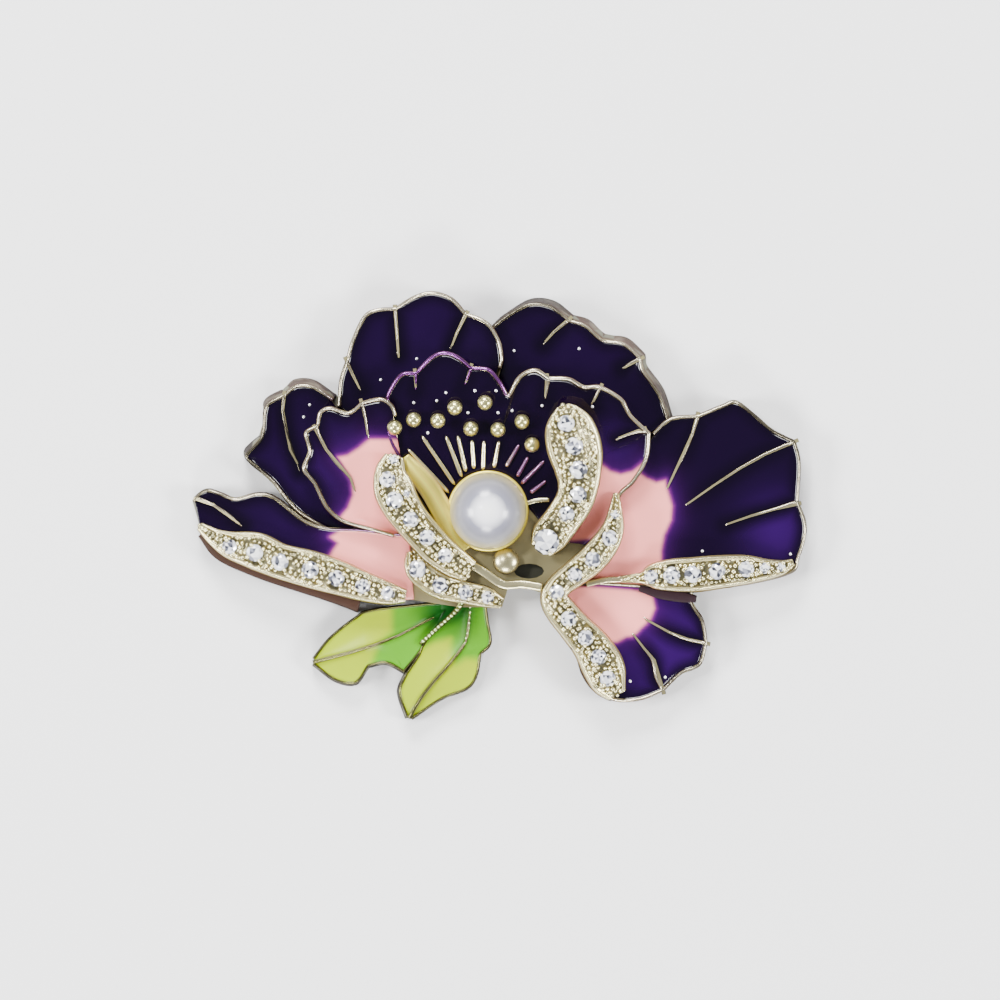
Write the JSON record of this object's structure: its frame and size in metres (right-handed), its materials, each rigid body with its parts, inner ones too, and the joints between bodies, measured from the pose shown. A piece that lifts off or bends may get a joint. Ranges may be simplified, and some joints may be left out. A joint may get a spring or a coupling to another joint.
{
  "type": "enamel flower brooch",
  "caption": "Flower brooch of cast metal with violet and pink enamel petals, curled stone-set edges, a pearl among stamens and two green leaves.",
  "frame": {"origin": "middle of the box, on the plane that the back lies on", "axes": "+Z out of the face, +Y towards the top petals, +X to the right seen from the front"},
  "size_m": [0.0614, 0.0428, 0.0105],
  "materials": {
    "gold": "polished pale gold",
    "violet_enamel": "glossy",
    "pink_enamel": "glossy",
    "green_enamel": "glossy",
    "pearl": "pearly",
    "stone": "faceted, foiled back",
    "pin": "plain"
  },
  "bodies": {
    "root": {"casting": "gold", "enamel_top_left": "violet_enamel", "enamel_top_right": "violet_enamel", "enamel_far_left": "violet_enamel", "enamel_inner_left": "pink_enamel", "enamel_low_left": "violet_enamel", "enamel_bowl": "violet_enamel", "enamel_right": "violet_enamel", "enamel_low_right": "violet_enamel", "enamel_leaf_left": "green_enamel", "enamel_leaf_right": "green_enamel", "stamens": "gold", "pearl": "pearl", "pin_back": "pin", "stone_low_left_1": "stone", "stone_low_left_2": "stone", "stone_low_left_3": "stone", "stone_low_left_4": "stone", "stone_low_left_5": "stone", "stone_low_left_6": "stone", "stone_low_left_7": "stone", "stone_right_1": "stone", "stone_right_2": "stone", "stone_right_3": "stone", "stone_right_4": "stone", "stone_right_5": "stone", "stone_right_6": "stone", "stone_right_7": "stone", "stone_curl_right_1": "stone", "stone_curl_right_2": "stone", "stone_curl_right_3": "stone", "stone_curl_right_4": "stone", "stone_curl_right_5": "stone", "stone_curl_right_6": "stone", "stone_hook_1": "stone", "stone_hook_2": "stone", "stone_hook_3": "stone", "stone_hook_4": "stone", "stone_hook_5": "stone", "stone_hook_6": "stone", "stone_hook_7": "stone", "stone_hook_8": "stone", "stone_hook_9": "stone", "stone_curl_left_1": "stone", "stone_curl_left_2": "stone", "stone_curl_left_3": "stone", "stone_curl_left_4": "stone", "stone_curl_left_5": "stone", "stone_curl_left_6": "stone", "stone_curl_left_7": "stone", "stone_under_1": "stone", "stone_under_2": "stone", "stone_under_3": "stone", "stone_under_4": "stone"}
  },
  "joints": []
}
